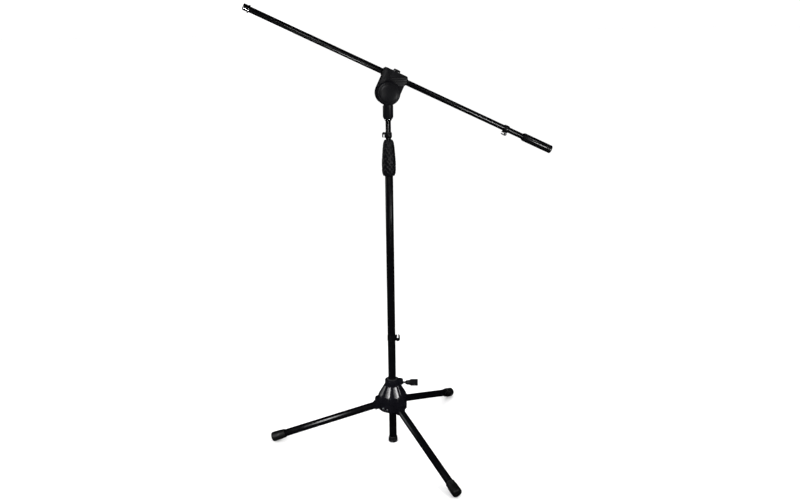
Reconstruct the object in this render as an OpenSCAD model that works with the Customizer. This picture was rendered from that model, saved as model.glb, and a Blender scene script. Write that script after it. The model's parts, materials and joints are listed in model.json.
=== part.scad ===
// Boom microphone stand: folding tripod base, telescopic mast and tilting boom arm.
// Millimetres, Z up. The origin is on the floor, on the axis of the mast.
// The boom lies along X: its threaded end points to -X and up, its handle to +X and down.

/* [Mast] */
// Outer diameter of the lower mast tube
mast_d = 19.5; // [16:0.5:22]
// Wall of the lower mast tube
mast_wall = 1.2; // [1:0.1:1.5]
// Height of the top of the lower mast tube
mast_top = 730; // [600:5:880]
// Outer diameter of the inner mast tube
inner_d = 12.8; // [11:0.2:13]
// Wall of the inner mast tube
inner_wall = 1.1; // [0.8:0.1:1.4]
// Height of the inner tube's lower end when it is pushed in
inner_bottom = 75; // [60:5:200]
// Height of the inner tube's top end above the lower tube
inner_rise = 106; // [105:1:140]

/* [Clutch] */
// Length of the twist grip on the mast
clutch_len = 85; // [78:1:100]
// Largest diameter of the twist grip
clutch_d = 34; // [32:0.5:42]

/* [Swivel] */
// Diameter of the round swivel ear and of the head's lower end
head_d = 57; // [52:1:68]
// Thickness of the swivel head along its bolt
head_depth = 22; // [21:1:26]
// Diameter of the swivel's neck
neck_d = 24.7; // [22:0.5:28]
// Distance from the tilt bolt to the boom's axis
boom_lift = 40; // [37:1:46]

/* [Boom] */
// Outer diameter of the boom tube
boom_d = 13.5; // [12:0.5:15]
// Wall of the boom tube
boom_wall = 1; // [0.8:0.1:1.4]
// Length of the boom tube from the clamp to its threaded end
boom_long = 361; // [250:1:460]
// Length of the boom tube from the clamp to its handle end
boom_short = 430; // [300:1:460]
// Slope of the boom, threaded end up
boom_angle = 25.7; // [0:0.1:60]
// Length of the handle sleeve
grip_len = 82; // [50:1:110]
// Diameter of the handle sleeve
grip_d = 20; // [18:0.5:26]
// Outer diameter of the microphone thread
stud_d = 15.88; // [15.5:0.01:16]

/* [Base] */
// Outer diameter of a leg tube
leg_d = 18.5; // [15:0.5:19]
// Wall of a leg tube
leg_wall = 1.1; // [0.9:0.1:1.5]
// Slope of a spread leg below the horizontal
leg_slope = 18.7; // [17:0.1:26]
// Direction of the first leg, seen from above
leg_turn = 168.2; // [0:0.1:359]
// Diameter of the hub's ring
ring_d = 74; // [70:1:84]
// Height of the leg pivots
pivot_z = 104.8; // [95:0.1:130]
// Diameter of a rubber foot
foot_d = 24.5; // [22:0.5:28]
// Length of a rubber foot
foot_len = 37; // [26:1:50]

/* [Hidden] */
$fn = 48;

// Clearances
run = 0.07;       // radial, between pieces that turn or slide on each other
seat = 0.05;      // radial, between pieces that are seated in each other
air = 0.4;        // beside a piece that swings past another
past = 1;         // how far a cut runs past a face

// Colours
paint = "#161618";
plastic = "#26262a";
rubber = "#0e0e0f";
chromed = "#c9ccd0";
steel = "#8d9096";
brass = "#b08d4a";

// Lower mast and its cap
mast_r = mast_d / 2;
mast_bore = mast_r - mast_wall;
cap_floor = 4;
cap_h = 16;
cap_r = mast_r + 2.2;

// Hub
bush_wall = 1.4;
bush_r = mast_r + run + bush_wall;
core_bore = bush_r + seat;
core_r = core_bore + 2.6;
ring_r = ring_d / 2;
pivot_r = ring_r - 14.6;
ring_bottom = pivot_z - 8.6;
ring_top = pivot_z + 25.4;
cover_h = 32.5;
cover_top = ring_top + cover_h;
cover_wall = 3;
collar_r = core_bore + 7.4;
collar_h = 13.5;
collar_top = cover_top + collar_h;
bush_flange = 2;
hood_r = ring_r + 8.8;
hood_bottom = ring_bottom + 3;
hood_top = ring_bottom + 27;
hood_round = 3;
cheek = 3;
slot_w = leg_d + 2 * air;
groove_count = 9;
groove_turn = 257.4;
groove_w = 2.6;
groove_depth = 1.6;

// Legs, in a frame whose X runs outward along the leg from its pivot
leg_names = ["left", "back", "front"];
leg_angles = [for (i = [0:2]) leg_turn - 120 * i];
leg_r = leg_d / 2;
leg_lift = 5.5;
eye_r = 8;
root_len = 24;
plug_len = 26;
pin_r = 3;
pin_head_r = 3.2;
pin_half = 26.3;
pin_head_h = 2;
foot_r = foot_d / 2;
foot_flat = 0.8;
foot_wall = 6;
leg_end = (pivot_z + (leg_lift - foot_r) * cos(leg_slope) + foot_flat) / sin(leg_slope);

// Hub lock
lock_turn = leg_turn - 180;
lock_z = cover_top + 3.7;
boss_r = 9;
boss_x = collar_r + 0.4;
lock_screw_r = 3;
lock_pad_t = 1.9;
lock_gap = 0.3;
lock_start = mast_r + lock_gap + lock_pad_t + 0.1;
knob_start = boss_x + boss_r + 5.8;
knob_bore = 14;
knob_len = 32;

// Clutch
clutch_bottom = mast_top - 24;
clutch_top = clutch_bottom + clutch_len;
sleeve_r = mast_r + 3;
sleeve_top = clutch_bottom + 49;
inner_r = inner_d / 2;
inner_bore = inner_r - inner_wall;
inner_top = mast_top + inner_rise;
collet_top = sleeve_top + 15;
collet_step = sleeve_top + 0.5;
clutch_k = clutch_d / 34;
// Radius and height of the grip's outline, for a grip 34 wide and 85 long
clutch_shape = [[14.6, 2.4], [16.5, 8], [16.8, 13], [16.7, 24], [17, 32], [16.4, 40], [16, 47], [15.4, 54],
  [14.9, 61], [14.2, 69], [13.2, 76], [11.8, 81]];

// Cable clips
clip_h = 13;
clip_taper = 3;
hook_w = 9;
mast_clip_z = 289;
mast_band = 2;
mast_eye = 2.6;
mast_eye_wall = 3;
mast_mouth = 3;
small_band = 2.8;
small_eye = 1.8;
small_eye_wall = 2.6;
small_mouth = 2.2;
inner_clip_z = clutch_top + 5.5 + clip_h / 2;
boom_clip_x = 304;

// Swivel
stud_r = stud_d / 2;
stud_collar_h = 5;
neck_bottom = inner_top + stud_collar_h;
neck_r = neck_d / 2;
head_r = head_d / 2;
neck_top = neck_bottom + 31;
tilt_z = neck_top + 1 + head_r;
socket_depth = 22;
ear_back = -5;
ear_front = -14;
bolt_r = 4;
bolt_head_r = 8.5;
bolt_head_h = 3.6;
washer_t = 1;
head_front = ear_back + washer_t + seat;
head_back = head_front + head_depth;
knob_face = head_back + washer_t + 0.3;
knob_depth = 16;
tilt_knob_r = 19;
nut_r = 7.4;
nut_h = 6.5;
bolt_end = knob_face + 13;

// Boom, in a frame whose X runs along the boom towards the handle
boom_r = boom_d / 2;
boom_bore = boom_r - boom_wall;
boom_y = (head_front + head_back) / 2;
boom_bush_r = boom_r + run + 1.6;
head_top = boom_lift + 13;
flange_t = 2.5;
flange_r = boom_bush_r + 1.2;
clamp_screw_r = 3;
clamp_head_r = 8.5;
clamp_head_h = 4.7;
stud_flange = 3.5;
stud_flange_r = 9.2;
thread_len = 12;
grip_r = grip_d / 2;
grip_end = boom_short + 2;
grip_start = grip_end - grip_len;

// Turns its children into the frame of the leg in direction a
module leg_frame(a) {
  rotate([0, 0, a]) translate([pivot_r, 0, pivot_z]) rotate([0, leg_slope, 0]) children();
}

// Turns its children into the swivel head's frame, whose X is the boom's direction
module head_frame() {
  translate([0, 0, tilt_z]) rotate([0, boom_angle, 0]) children();
}

// Turns its children so that their Z axis becomes the boom's axis, towards the handle
module boom_frame() {
  head_frame() translate([0, boom_y, boom_lift]) rotate([0, 90, 0]) children();
}

// A straight tube along Z
module tube(outer, inner, low, high) {
  translate([0, 0, low]) difference() {
    cylinder(r = outer, h = high - low);
    translate([0, 0, -past]) cylinder(r = inner, h = high - low + 2 * past);
  }
}

// The points of a rounded corner of radius r about [x, y]
function corner(x, y, r) = [for (i = [0:6]) [x + r * cos(15 * i), y + r * sin(15 * i)]];

// A push-fit clip on a tube along Z: a split band, and towards +X a block with an eye along Y
// that opens downwards
module cable_clip(tube_r, band, eye, wall, mouth, tall, reach) {
  hook_r = eye + wall;
  eye_x = reach - hook_r;
  rise = tall / 2 - hook_r;
  lip = 1.6;
  difference() {
    union() {
      rotate_extrude() polygon([[tube_r, -clip_h / 2], [tube_r + lip, -clip_h / 2],
        [tube_r + band, clip_taper - clip_h / 2], [tube_r + band, clip_h / 2 - clip_taper],
        [tube_r + lip, clip_h / 2], [tube_r, clip_h / 2]]);
      rotate([90, 0, 0]) linear_extrude(height = hook_w, center = true) union() {
        for (side = [-1, 1]) translate([eye_x, side * rise]) circle(r = hook_r);
        translate([eye_x - hook_r, -rise]) square([2 * hook_r, 2 * rise]);
      }
    }
    cylinder(r = tube_r + seat, h = clip_h + 2 * past, center = true);
    translate([eye_x, 0, 0]) rotate([90, 0, 0]) cylinder(r = eye, h = hook_w + 2 * past, center = true);
    translate([eye_x - mouth / 2, -hook_w / 2 - past, -tall / 2 - past])
      cube([mouth, hook_w + 2 * past, tall / 2 + past]);
    translate([-tube_r - band, 0, 0]) cube([tube_r + band, 1.1 * tube_r, clip_h + 2 * past], center = true);
  }
}

// ---- Hub ----

module hub_hood(a) {
  intersection() {
    rotate([0, 0, a]) rotate([90, 0, 0]) linear_extrude(height = slot_w + 2 * cheek, center = true)
      polygon([[core_r, hood_bottom], [hood_r + past, hood_bottom], [hood_r + past, hood_top - hood_round],
        [hood_r - hood_round, hood_top], [ring_r - hood_round, hood_top + hood_round],
        [core_r, hood_top + hood_round]]);
    cylinder(r = hood_r, h = ring_top);
  }
}

module leg_slot(a) {
  slot_in = eye_r + 0.6;
  leg_frame(a) translate([-slot_in, -slot_w / 2, -leg_end / 4])
    cube([slot_in + hood_r, slot_w, leg_end / 4 + leg_lift + leg_r + air]);
}

module pin_place(a) {
  rotate([0, 0, a]) translate([pivot_r, 0, pivot_z]) rotate([90, 0, 0]) children();
}

module hub_base() {
  pocket_r = 5;
  color(plastic) difference() {
    union() {
      difference() {
        union() {
          rotate_extrude() polygon([[0, ring_bottom], [ring_r - 2, ring_bottom], [ring_r, ring_bottom + 2],
            [ring_r, ring_top - 1], [ring_r - 1, ring_top], [0, ring_top]]);
          for (a = leg_angles) hub_hood(a);
        }
        for (a = leg_angles) leg_slot(a);
      }
      translate([0, 0, ring_bottom]) cylinder(r = core_r, h = cover_top - ring_bottom);
    }
    translate([0, 0, ring_bottom - past]) cylinder(r = core_bore, h = cover_top - ring_bottom + 2 * past);
    for (a = leg_angles) pin_place(a) {
      cylinder(r = pin_r + seat, h = 2 * ring_r, center = true);
      for (side = [0, 180]) rotate([side, 0, 0]) translate([0, 0, pin_half])
        cylinder(r = pin_head_r + 0.3, h = ring_r);
    }
    for (a = leg_angles) rotate([0, 0, a + 60]) translate([pivot_r + 1.6, 0, ring_bottom - past])
      cylinder(r = pocket_r, h = 24);
  }
}

module leg_pivot_pins() {
  color(steel) for (a = leg_angles) pin_place(a) {
    cylinder(r = pin_r, h = 2 * pin_half, center = true);
    for (side = [0, 180]) rotate([side, 0, 0]) translate([0, 0, pin_half]) rotate_extrude()
      polygon(concat([[0, 0]], [for (i = [0:6]) [pin_head_r * cos(15 * i),
        0.5 + (pin_head_h - 0.5) * sin(15 * i)]]));
  }
}

module hub_cover() {
  rim = 2.5;
  slant = atan((ring_r - 0.3 - collar_r) / (cover_h - rim));
  length = (cover_h - rim) / cos(slant);
  color(plastic) difference() {
    rotate_extrude() polygon([[ring_r - cover_wall - 0.3, ring_top], [ring_r - 0.3, ring_top],
      [ring_r - 0.3, ring_top + rim], [collar_r, cover_top], [core_r + 0.1, cover_top],
      [core_r + 0.1, cover_top - rim], [collar_r - cover_wall, cover_top - rim],
      [ring_r - cover_wall - 0.3, ring_top + rim - 1]]);
    for (i = [0:groove_count - 1]) rotate([0, 0, groove_turn + 360 / groove_count * i])
      translate([ring_r - 0.3, 0, ring_top + rim]) rotate([0, -slant, 0])
      translate([-groove_depth, -groove_w / 2, 1]) cube([2 * groove_depth, groove_w, length - 3]);
  }
}

module hub_collar() {
  color(plastic) translate([0, 0, cover_top]) difference() {
    union() {
      rotate_extrude() polygon([[0, 0], [collar_r, 0], [collar_r, collar_h - 1.5],
        [collar_r - 1.5, collar_h], [0, collar_h]]);
      rotate([0, 0, lock_turn]) {
        translate([0, -boss_r, 0]) cube([boss_x, 2 * boss_r, collar_h - 1]);
        translate([boss_x, 0, 0]) cylinder(r = boss_r, h = collar_h - 1);
      }
    }
    translate([0, 0, -past]) cylinder(r = core_bore, h = collar_h + 2 * past);
    rotate([0, 0, lock_turn]) translate([0, 0, lock_z - cover_top]) rotate([0, 90, 0])
      cylinder(r = lock_screw_r + run, h = hood_r);
  }
}

module hub_bush() {
  color(rubber) difference() {
    union() {
      tube(bush_r, mast_r + run, ring_bottom, collar_top + bush_flange);
      tube(bush_r + 2, mast_r + run, collar_top, collar_top + bush_flange);
    }
    rotate([0, 0, lock_turn]) translate([0, 0, lock_z]) rotate([0, 90, 0])
      cylinder(r = lock_screw_r + run, h = bush_r + past);
  }
}

module lock_pad() {
  color(brass) rotate([0, 0, lock_turn]) translate([mast_r + lock_gap, 0, lock_z]) rotate([0, 90, 0])
    cylinder(r = lock_screw_r - 0.1, h = lock_pad_t);
}

module lock_screw() {
  color(steel) rotate([0, 0, lock_turn]) translate([lock_start, 0, lock_z]) rotate([0, 90, 0])
    cylinder(r = lock_screw_r, h = knob_start + knob_bore - lock_start);
}

module lock_knob() {
  flutes = 8;
  big = 8.7;
  color(plastic) rotate([0, 0, lock_turn]) translate([knob_start, 0, lock_z]) rotate([0, 90, 0]) difference() {
    rotate_extrude() polygon([[lock_screw_r + seat, 0], [3.8, 0], [5.8, 3.5], [6.2, 10], [7.8, 12.5],
      [big, 14.5], [big, knob_len - 3], [big - 1.8, knob_len], [0, knob_len], [0, knob_bore],
      [lock_screw_r + seat, knob_bore]]);
    for (i = [0:flutes - 1]) rotate([0, 0, 360 / flutes * i]) translate([big + 0.4, 0, 14.5])
      cylinder(r = 1.3, h = knob_len, $fn = 24);
  }
}

// ---- Legs ----

module leg_root(a) {
  color(plastic) leg_frame(a) difference() {
    union() {
      rotate([90, 0, 0]) linear_extrude(height = leg_d, center = true) union() {
        circle(r = eye_r);
        polygon([[-eye_r / 2, 0], [0, leg_lift + leg_r], [root_len, leg_lift + leg_r],
          [root_len, leg_lift - leg_r], [0, -eye_r / 2]]);
      }
      translate([root_len - past, 0, leg_lift]) rotate([0, 90, 0])
        cylinder(r = leg_r - leg_wall - seat, h = plug_len + past);
    }
    rotate([90, 0, 0]) cylinder(r = pin_r + run, h = leg_d + 2 * past, center = true);
  }
}

module leg_tube(a) {
  color(paint) leg_frame(a) translate([0, 0, leg_lift]) rotate([0, 90, 0])
    tube(leg_r, leg_r - leg_wall, root_len, leg_end - foot_wall);
}

module foot(a) {
  round_r = 5;
  color(rubber) difference() {
    leg_frame(a) translate([leg_end - foot_len, 0, leg_lift]) rotate([0, 90, 0]) difference() {
      rotate_extrude() polygon(concat([[0, 0], [leg_r + 1.4, 0], [leg_r + 2, 1], [foot_r - 0.5, foot_len / 3],
        [foot_r, foot_len / 2]], corner(foot_r - round_r, foot_len - round_r, round_r), [[0, foot_len]]));
      translate([0, 0, -past]) cylinder(r = leg_r + seat, h = foot_len - foot_wall + past);
    }
    translate([0, 0, -foot_d]) cylinder(r = 2 * leg_end, h = foot_d);
  }
}

module left_leg_root() { leg_root(leg_angles[0]); }
module left_leg_tube() { leg_tube(leg_angles[0]); }
module left_foot() { foot(leg_angles[0]); }
module back_leg_root() { leg_root(leg_angles[1]); }
module back_leg_tube() { leg_tube(leg_angles[1]); }
module back_foot() { foot(leg_angles[1]); }
module front_leg_root() { leg_root(leg_angles[2]); }
module front_leg_tube() { leg_tube(leg_angles[2]); }
module front_foot() { foot(leg_angles[2]); }

// ---- Mast ----

module mast_tube() { color(paint) tube(mast_r, mast_bore, cap_floor, mast_top); }

module mast_cap() {
  color(rubber) rotate_extrude() polygon([[0, 0], [cap_r - 2.2, 0], [cap_r - 0.6, 1], [cap_r, 4],
    [cap_r - 0.2, 9], [cap_r - 1, 14], [cap_r - 1.6, cap_h], [mast_r + seat, cap_h],
    [mast_r + seat, cap_floor], [0, cap_floor]]);
}

module mast_clip() {
  color(plastic) translate([0, 0, mast_clip_z]) rotate([0, 0, -9]) mirror([0, 0, 1])
    cable_clip(mast_r, mast_band, mast_eye, mast_eye_wall, mast_mouth, 16, mast_r + 11.5);
}

module clutch_sleeve() {
  color(plastic) difference() {
    tube(sleeve_r, mast_bore, clutch_bottom + 0.5, sleeve_top);
    translate([0, 0, clutch_bottom - past]) cylinder(r = mast_r + seat, h = mast_top - clutch_bottom + past);
  }
}

module clutch_collet() {
  slits = 3;
  slit_w = 1.6;
  color(plastic) difference() {
    rotate_extrude() polygon([[inner_r + run, mast_top + 3], [mast_bore - run, mast_top + 3],
      [mast_bore - run, collet_step], [mast_r + 1.4, collet_step], [mast_r + 1.4, collet_step + 4],
      [inner_r + 2, collet_top], [inner_r + run, collet_top]]);
    for (i = [0:slits - 1]) rotate([0, 0, 360 / slits * i]) translate([0, -slit_w / 2, sleeve_top + 2])
      cube([mast_d, slit_w, collet_top]);
  }
}

module clutch_grip() {
  color(rubber) translate([0, 0, clutch_bottom]) rotate_extrude() polygon(concat(
    [[sleeve_r + 0.1, 0], [sleeve_r + 1.6, 0]],
    [for (p = clutch_shape) [p[0] * clutch_k, p[1] * clutch_len / 85]],
    [[10.2 * clutch_k, clutch_len], [inner_r + 0.5, clutch_len], [inner_r + 0.5, clutch_len - 8],
    [mast_r + 2.2, collet_top - clutch_bottom - 8], [mast_r + 2.2, sleeve_top - clutch_bottom + 1],
    [sleeve_r + 0.1, sleeve_top - clutch_bottom + 1]]));
}

module inner_tube() { color(paint) tube(inner_r, inner_bore, inner_bottom, inner_top); }

module inner_glide() {
  color(plastic) {
    translate([0, 0, inner_bottom - 12]) cylinder(r = mast_bore - run, h = 12);
    translate([0, 0, inner_bottom - past]) cylinder(r = inner_bore - seat, h = 16);
  }
}

module inner_clip() {
  color(plastic) translate([0, 0, inner_clip_z]) rotate([0, 0, 171]) 
    cable_clip(inner_r, small_band, small_eye, small_eye_wall, small_mouth, clip_h, inner_r + 8.6);
}

// ---- Swivel ----

module swivel_stud() {
  color(chromed) rotate_extrude() polygon([[0, inner_top - 24], [inner_bore - seat, inner_top - 24],
    [inner_bore - seat, inner_top], [inner_r + 0.7, inner_top], [stud_r + 0.8, inner_top + 3.5],
    [stud_r + 0.8, neck_bottom], [stud_r, neck_bottom], [stud_r, neck_bottom + socket_depth - 1],
    [0, neck_bottom + socket_depth - 1]]);
}

module swivel_base() {
  bevel = 2.4;
  blend = 18;
  color(plastic) difference() {
    union() {
      rotate_extrude() polygon([[0, neck_bottom], [neck_r - bevel, neck_bottom],
        [neck_r, neck_bottom + 2 * bevel], [neck_r, neck_top], [0, neck_top]]);
      intersection() {
        translate([0, 0, neck_top - past]) cylinder(r = neck_r, h = blend);
        translate([-neck_r, -neck_r, neck_top - past]) cube([neck_d, neck_r + ear_back, blend]);
      }
      translate([0, ear_back, tilt_z]) rotate([90, 0, 0]) rotate_extrude()
        polygon([[0, 0], [head_r, 0], [head_r, 6], [head_r - 2, 8.4], [head_r - 4, ear_back - ear_front],
          [0, ear_back - ear_front]]);
    }
    translate([0, 0, neck_bottom - past]) cylinder(r = stud_r + seat, h = socket_depth + past);
    translate([0, 0, tilt_z]) rotate([90, 0, 0]) {
      cylinder(r = bolt_r + seat, h = -ear_front + past);
      translate([0, 0, -ear_front - bolt_head_h - 0.4]) cylinder(r = bolt_head_r + 0.3, h = bolt_head_h + past);
    }
  }
}

module tilt_cap() {
  cap_edge = 1.2;
  cap_rise = 3.4;
  disc_r = head_r - 6;
  color(plastic) translate([0, ear_front, tilt_z]) rotate([90, 0, 0]) rotate_extrude()
    polygon(concat([[0, 0], [disc_r, 0], [disc_r, cap_edge]],
      [for (i = [1:6]) [disc_r * (1 - i / 6), cap_edge + (cap_rise - cap_edge) * sin(15 * i)]]));
}

module tilt_bolt() {
  color(steel) translate([0, 0, tilt_z]) rotate([90, 0, 0]) {
    translate([0, 0, -bolt_end]) cylinder(r = bolt_r, h = bolt_end - ear_front - bolt_head_h + past / 2);
    translate([0, 0, -ear_front - bolt_head_h - 0.2]) cylinder(r = bolt_head_r, h = bolt_head_h);
  }
}

module tilt_washers() {
  color(steel) translate([0, 0, tilt_z]) rotate([90, 0, 0]) {
    tube(head_r - 8, bolt_r + 0.2, -ear_back - washer_t, -ear_back);
    tube(bolt_head_r + 3, bolt_r + 0.2, -head_back - washer_t - 0.1, -head_back - 0.1);
  }
}

module swivel_head() {
  corner = 4;
  ribs = 5;
  rib_pitch = 5.2;
  color(plastic) difference() {
    head_frame() difference() {
      translate([0, head_back, 0]) rotate([90, 0, 0]) linear_extrude(height = head_depth) union() {
        circle(r = head_r, $fn = 96);
        translate([-head_r, 0]) square([head_d, head_top - corner]);
        translate([-head_r + corner, 0]) square([head_d - 2 * corner, head_top]);
        for (side = [-1, 1]) translate([side * (head_r - corner), head_top - corner]) circle(r = corner);
      }
      rotate([90, 0, 0]) cylinder(r = bolt_r + seat, h = 4 * head_depth, center = true);
      translate([0, boom_y, boom_lift]) rotate([0, 90, 0])
        cylinder(r = boom_bush_r + run, h = 2 * head_d, center = true);
      translate([0, boom_y, boom_lift]) cylinder(r = clamp_screw_r + run, h = head_top);
    }
    for (i = [0:ribs - 1]) translate([5, head_front - past, tilt_z + 15 + rib_pitch * i])
      cube([head_d, past + 0.8, rib_pitch / 2]);
  }
}

module clamp_screw() {
  color(steel) head_frame() translate([0, boom_y, 0]) difference() {
    union() {
      translate([0, 0, boom_lift + boom_bush_r + 0.3])
        cylinder(r = clamp_screw_r, h = head_top - boom_lift - boom_bush_r);
      translate([0, 0, head_top + 0.3]) rotate_extrude()
        polygon(concat([[0, 0], [clamp_head_r, 0], [clamp_head_r, 1]],
          corner(clamp_head_r - 3, clamp_head_h - 3, 3), [[0, clamp_head_h]]));
    }
    translate([0, 0, head_top + 2]) cylinder(r = 3.4, h = clamp_head_h, $fn = 6);
  }
}

module boom_bush() {
  slit = 1.6;
  half = head_r + 0.3 + flange_t;
  color(rubber) boom_frame() difference() {
    union() {
      cylinder(r = boom_bush_r, h = 2 * half, center = true);
      for (side = [0, 180]) rotate([side, 0, 0]) translate([0, 0, half - flange_t])
        cylinder(r = flange_r, h = flange_t);
    }
    cylinder(r = boom_r + run, h = 3 * half, center = true);
    translate([0, -slit / 2, -2 * half]) cube([2 * flange_r, slit, 4 * half]);
  }
}

module tilt_knob() {
  lobes = 7;
  lobe_cut = 5.2;
  color(plastic) translate([0, knob_face, tilt_z]) rotate([-90, 0, 0]) difference() {
    rotate_extrude() polygon([[0, 0], [12, 0], [13, 4], [tilt_knob_r - 1.5, 5], [tilt_knob_r, 6.5],
      [tilt_knob_r, knob_depth - 3], [tilt_knob_r - 3, knob_depth], [0, knob_depth]]);
    for (i = [0:lobes - 1]) rotate([0, 0, 360 / lobes * i]) translate([tilt_knob_r + 2.8, 0, -past])
      cylinder(r = lobe_cut, h = knob_depth + 2 * past);
    translate([0, 0, -past]) cylinder(r = nut_r + 0.1, h = nut_h + past + 0.1, $fn = 6);
    cylinder(r = bolt_r + 0.3, h = bolt_end - knob_face + 0.5);
  }
}

module tilt_nut() {
  color(brass) translate([0, knob_face, tilt_z]) rotate([-90, 0, 0]) difference() {
    cylinder(r = nut_r, h = nut_h, $fn = 6);
    translate([0, 0, -past]) cylinder(r = bolt_r + run, h = nut_h + 2 * past);
  }
}

// ---- Boom ----

module boom_tube() { color(paint) boom_frame() tube(boom_r, boom_bore, -boom_long, boom_short); }

module boom_stud() {
  color(chromed) boom_frame() rotate([180, 0, 0]) translate([0, 0, boom_long]) rotate_extrude()
    polygon([[0, -22], [boom_bore - seat, -22], [boom_bore - seat, 0], [stud_flange_r, 0],
      [stud_flange_r, stud_flange - 1], [stud_flange_r - 1, stud_flange], [stud_r, stud_flange],
      [stud_r, stud_flange + thread_len - 1],
      [stud_r - 1, stud_flange + thread_len], [0, stud_flange + thread_len]]);
}

module boom_grip() {
  rim = 2;
  color(rubber) boom_frame() rotate_extrude() polygon([[boom_r + seat, grip_start], [boom_r + 1, grip_start],
    [grip_r, grip_start + 4], [grip_r, grip_end - 0.8], [grip_r - 0.8, grip_end], [grip_r - rim, grip_end],
    [grip_r - rim, boom_short], [boom_r + seat, boom_short]]);
}

module boom_end_plug() {
  color(plastic) boom_frame() {
    translate([0, 0, boom_short - 18]) cylinder(r = boom_bore - seat, h = 18 + past / 2);
    translate([0, 0, boom_short]) cylinder(r = boom_r + 0.6, h = 1.2);
  }
}

module boom_clip() {
  color(plastic) boom_frame() translate([0, 0, boom_clip_x]) 
    cable_clip(boom_r, small_band, small_eye, small_eye_wall, small_mouth, clip_h, boom_r + 10);
}

hub_base();
hub_cover();
hub_collar();
hub_bush();
leg_pivot_pins();
lock_pad();
lock_screw();
lock_knob();
left_leg_root();
left_leg_tube();
left_foot();
back_leg_root();
back_leg_tube();
back_foot();
front_leg_root();
front_leg_tube();
front_foot();
mast_tube();
mast_cap();
mast_clip();
clutch_sleeve();
clutch_collet();
clutch_grip();
inner_tube();
inner_glide();
inner_clip();
swivel_stud();
swivel_base();
tilt_cap();
tilt_bolt();
tilt_washers();
swivel_head();
clamp_screw();
boom_bush();
tilt_knob();
tilt_nut();
boom_tube();
boom_stud();
boom_grip();
boom_end_plug();
boom_clip();
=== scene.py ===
"""Boom microphone stand: detailed pieces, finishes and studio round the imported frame."""
import json
import math
import bmesh
import bpy
from mathutils import Matrix, Vector


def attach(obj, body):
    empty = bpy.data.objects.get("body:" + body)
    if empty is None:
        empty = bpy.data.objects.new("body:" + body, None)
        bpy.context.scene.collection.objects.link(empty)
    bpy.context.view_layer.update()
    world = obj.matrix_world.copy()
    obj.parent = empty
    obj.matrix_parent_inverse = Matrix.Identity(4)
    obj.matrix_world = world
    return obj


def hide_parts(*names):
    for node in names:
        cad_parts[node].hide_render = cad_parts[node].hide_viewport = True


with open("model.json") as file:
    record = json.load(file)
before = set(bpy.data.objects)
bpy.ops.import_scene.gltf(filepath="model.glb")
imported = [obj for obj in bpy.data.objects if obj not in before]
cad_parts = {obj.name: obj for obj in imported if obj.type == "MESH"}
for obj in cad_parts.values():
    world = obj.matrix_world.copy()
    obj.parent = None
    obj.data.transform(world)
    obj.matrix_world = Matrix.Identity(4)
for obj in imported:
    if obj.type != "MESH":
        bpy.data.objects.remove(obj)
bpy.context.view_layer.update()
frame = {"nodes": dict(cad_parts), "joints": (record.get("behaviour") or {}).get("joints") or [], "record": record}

bl_info = {
    "name": "Boom microphone stand",
    "version": (1, 0, 0),
    "blender": (4, 5, 0),
    "location": "3D View > Sidebar > Mic Stand",
    "description": "Builds the visible pieces of a boom microphone stand round its frame",
    "category": "Add Mesh",
}

MM = 0.001
RECORD = frame["record"]
JOINTS = {joint["name"]: joint for joint in frame["joints"]}
BODY_OF = {node: body for body, nodes in RECORD["behaviour"]["bodies"].items() for node in nodes}
SLOT_OF = {part["node"]: part["material_slot"] for part in RECORD["subparts"]}
LEGS = ("left", "back", "front")
STEPS = 64


# ---- Places ----

def axis_frame(point, direction, side=(0, 0, 1)):
    """A frame at point whose Z runs along direction and whose X leans towards side."""
    z = Vector(direction).normalized()
    y = z.cross(Vector(side)).normalized()
    x = y.cross(z)
    place = Matrix((x, y, z)).transposed().to_4x4()
    place.translation = Vector(point)
    return place


def joint_frame(name, side=(0, 0, 1), flip=False):
    """The frame of a joint: its point, with Z along its axis, or against it."""
    joint = JOINTS[name]
    axis = Vector(joint["axis"]) * (-1 if flip else 1)
    return axis_frame(joint.get("pos_m", (0, 0, 0)), axis, side)


def boom_frame():
    """The clamp's middle on the boom, with Z towards the handle and X down."""
    roll = JOINTS["boom_roll"]
    return axis_frame(roll["pos_m"], -Vector(roll["axis"]), (0, 0, -1))


def leg_frame(leg):
    """The leg tube's upper end, with Z outward along the leg and X down."""
    points = corners(leg + "_leg_tube")
    pivot = Vector(JOINTS[leg + "_leg_fold"]["pos_m"])
    points.sort(key=lambda p: (p - pivot).length)
    half = len(points) // 2
    near = sum(points[:half], Vector()) / half
    far = sum(points[half:], Vector()) / (len(points) - half)
    return axis_frame(near, far - near, (0, 0, -1))


def corners(node):
    """The different corner points of a frame node."""
    found = {tuple(round(c, 6) for c in vertex.co) for vertex in frame["nodes"][node].data.vertices}
    return [Vector(point) for point in found]


def measure(node, place=Matrix.Identity(4)):
    """Smallest and largest radius, and lowest and highest place, of a node about a frame's Z axis."""
    back = place.inverted()
    points = [back @ point for point in corners(node)]
    radii = [math.hypot(p.x, p.y) for p in points]
    return min(radii), max(radii), min(p.z for p in points), max(p.z for p in points)


# ---- Mesh tools ----

def lathe(outline, steps=STEPS, bm=None):
    """A body turned about Z from a closed outline of (radius, height) points."""
    bm = bm or bmesh.new()
    verts = [bm.verts.new((radius, 0, height)) for radius, height in outline]
    edges = [bm.edges.new(pair) for pair in zip(verts, verts[1:] + verts[:1])]
    bmesh.ops.spin(bm, geom=verts + edges, cent=(0, 0, 0), axis=(0, 0, 1), angle=2 * math.pi,
                   steps=steps, use_merge=True)
    bmesh.ops.remove_doubles(bm, verts=bm.verts, dist=1e-6)
    bmesh.ops.recalc_face_normals(bm, faces=bm.faces)
    return bm


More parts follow.
